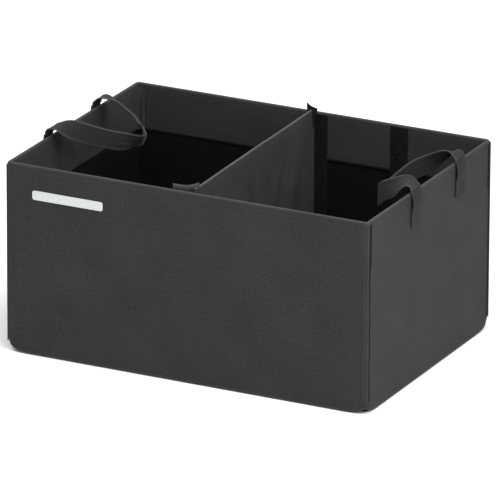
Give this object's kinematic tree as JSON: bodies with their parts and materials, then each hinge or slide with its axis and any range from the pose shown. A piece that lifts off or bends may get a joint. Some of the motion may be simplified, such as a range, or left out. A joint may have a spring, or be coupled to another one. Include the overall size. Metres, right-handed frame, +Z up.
{
  "type": "collapsible storage crate",
  "caption": "Rectangular open-topped fabric storage crate with stiffened walls, a centre divider and strap handles; it folds flat like a paper bag.",
  "frame": {"origin": "middle of the footprint, on the surface that the open crate stands on", "axes": "+X along the long walls, +Y from the front wall to the back wall, +Z up"},
  "size_m": [0.5122, 0.36, 0.2746],
  "materials": {
    "shell_fabric": "matte woven polyester",
    "lining_fabric": "matte coated lining",
    "divider_fabric": "matte woven polyester",
    "binding": "grosgrain binding",
    "webbing": "flat woven strap",
    "loop_tape": "fuzzy loop tape",
    "stiffener": "plastic board"
  },
  "bodies": {
    "front": {"front_outer_panel": "shell_fabric", "front_stiffener": "stiffener", "front_lining": "lining_fabric", "front_hem_facing": "shell_fabric", "front_rim_fold": "binding", "front_centre_loop_strip": "loop_tape", "front_side_loop_strip": "loop_tape", "front_left_corner_piping": "binding", "front_right_corner_piping": "binding", "floor_gusset_left": "shell_fabric", "floor_gusset_right": "shell_fabric"},
    "left_front": {"left_front_outer_panel": "shell_fabric", "left_front_stiffener": "stiffener", "left_front_lining": "lining_fabric", "left_front_hem_facing": "shell_fabric", "left_front_rim_fold": "binding", "left_front_strap_anchor": "webbing"},
    "left_back": {"left_back_outer_panel": "shell_fabric", "left_back_stiffener": "stiffener", "left_back_lining": "lining_fabric", "left_back_hem_facing": "shell_fabric", "left_back_rim_fold": "binding", "left_back_strap_anchor": "webbing"},
    "back": {"back_outer_panel": "shell_fabric", "back_stiffener": "stiffener", "back_lining": "lining_fabric", "back_hem_facing": "shell_fabric", "back_rim_fold": "binding", "back_centre_loop_strip": "loop_tape", "back_side_loop_strip": "loop_tape", "back_left_corner_piping": "binding", "back_right_corner_piping": "binding"},
    "right_front": {"right_front_outer_panel": "shell_fabric", "right_front_stiffener": "stiffener", "right_front_lining": "lining_fabric", "right_front_hem_facing": "shell_fabric", "right_front_rim_fold": "binding", "right_front_strap_anchor": "webbing"},
    "right_back": {"right_back_outer_panel": "shell_fabric", "right_back_stiffener": "stiffener", "right_back_lining": "lining_fabric", "right_back_hem_facing": "shell_fabric", "right_back_rim_fold": "binding", "right_back_strap_anchor": "webbing"},
    "base_front": {"base_front_outer_fabric": "shell_fabric", "base_front_board": "stiffener", "base_front_lining": "lining_fabric"},
    "base_back": {"base_back_outer_fabric": "shell_fabric", "base_back_board": "stiffener", "base_back_lining": "lining_fabric"},
    "divider": {"divider_left_skin": "divider_fabric", "divider_core": "stiffener", "divider_right_skin": "divider_fabric", "divider_top_binding": "binding", "divider_front_hook_flange": "divider_fabric", "divider_back_hook_flange": "divider_fabric"},
    "left_handle": {"left_handle_strap": "webbing"},
    "right_handle": {"right_handle_strap": "webbing"}
  },
  "joints": [
    {"name": "crate_fold", "type": "hinge", "parent": "front", "child": "left_front", "pos_m": [-0.254, -0.164, 0], "axis": [0, 0, -1], "range_deg": [0, 85], "deforming": ["floor_gusset_left", "floor_gusset_right", "divider_left_skin", "divider_core", "divider_right_skin", "divider_top_binding", "divider_front_hook_flange", "divider_back_hook_flange", "left_handle_strap", "right_handle_strap"]},
    {"name": "left_centre_crease", "type": "hinge", "parent": "left_front", "child": "left_back", "pos_m": [-0.254, 0, 0], "axis": [0, 0, 1], "range_deg": [0, 170]},
    {"name": "left_back_corner", "type": "hinge", "parent": "left_back", "child": "back", "pos_m": [-0.254, 0.164, 0], "axis": [0, 0, -1], "range_deg": [0, 85]},
    {"name": "right_front_corner", "type": "hinge", "parent": "front", "child": "right_front", "pos_m": [0.254, -0.164, 0], "axis": [0, 0, 1], "range_deg": [0, 85]},
    {"name": "right_centre_crease", "type": "hinge", "parent": "right_front", "child": "right_back", "pos_m": [0.254, 0, 0], "axis": [0, 0, -1], "range_deg": [0, 170]},
    {"name": "base_front_crease", "type": "hinge", "parent": "front", "child": "base_front", "pos_m": [0, -0.1695, 0], "axis": [1, 0, 0], "range_deg": [0, 85]},
    {"name": "base_back_crease", "type": "hinge", "parent": "back", "child": "base_back", "pos_m": [0, 0.1695, 0], "axis": [-1, 0, 0], "range_deg": [0, 85]},
    {"name": "divider_lift", "type": "slide", "parent": "front", "child": "divider", "axis": [0, 0, 1], "range_m": [0, 0.25]},
    {"name": "left_handle_swing", "type": "hinge", "parent": "left_front", "child": "left_handle", "pos_m": [-0.2552, 0.004, 0.2562], "axis": [0, -1, 0], "range_deg": [0, 115]},
    {"name": "right_handle_swing", "type": "hinge", "parent": "right_front", "child": "right_handle", "pos_m": [0.2552, 0.019, 0.2562], "axis": [0, 1, 0], "range_deg": [0, 115]}
  ],
  "couplings": [
    {"joint": "left_centre_crease", "follows": "crate_fold", "ratio": 2},
    {"joint": "left_back_corner", "follows": "crate_fold", "ratio": 1},
    {"joint": "right_front_corner", "follows": "crate_fold", "ratio": 1},
    {"joint": "right_centre_crease", "follows": "crate_fold", "ratio": 2},
    {"joint": "base_front_crease", "follows": "crate_fold", "ratio": 1},
    {"joint": "base_back_crease", "follows": "crate_fold", "ratio": 1}
  ]
}
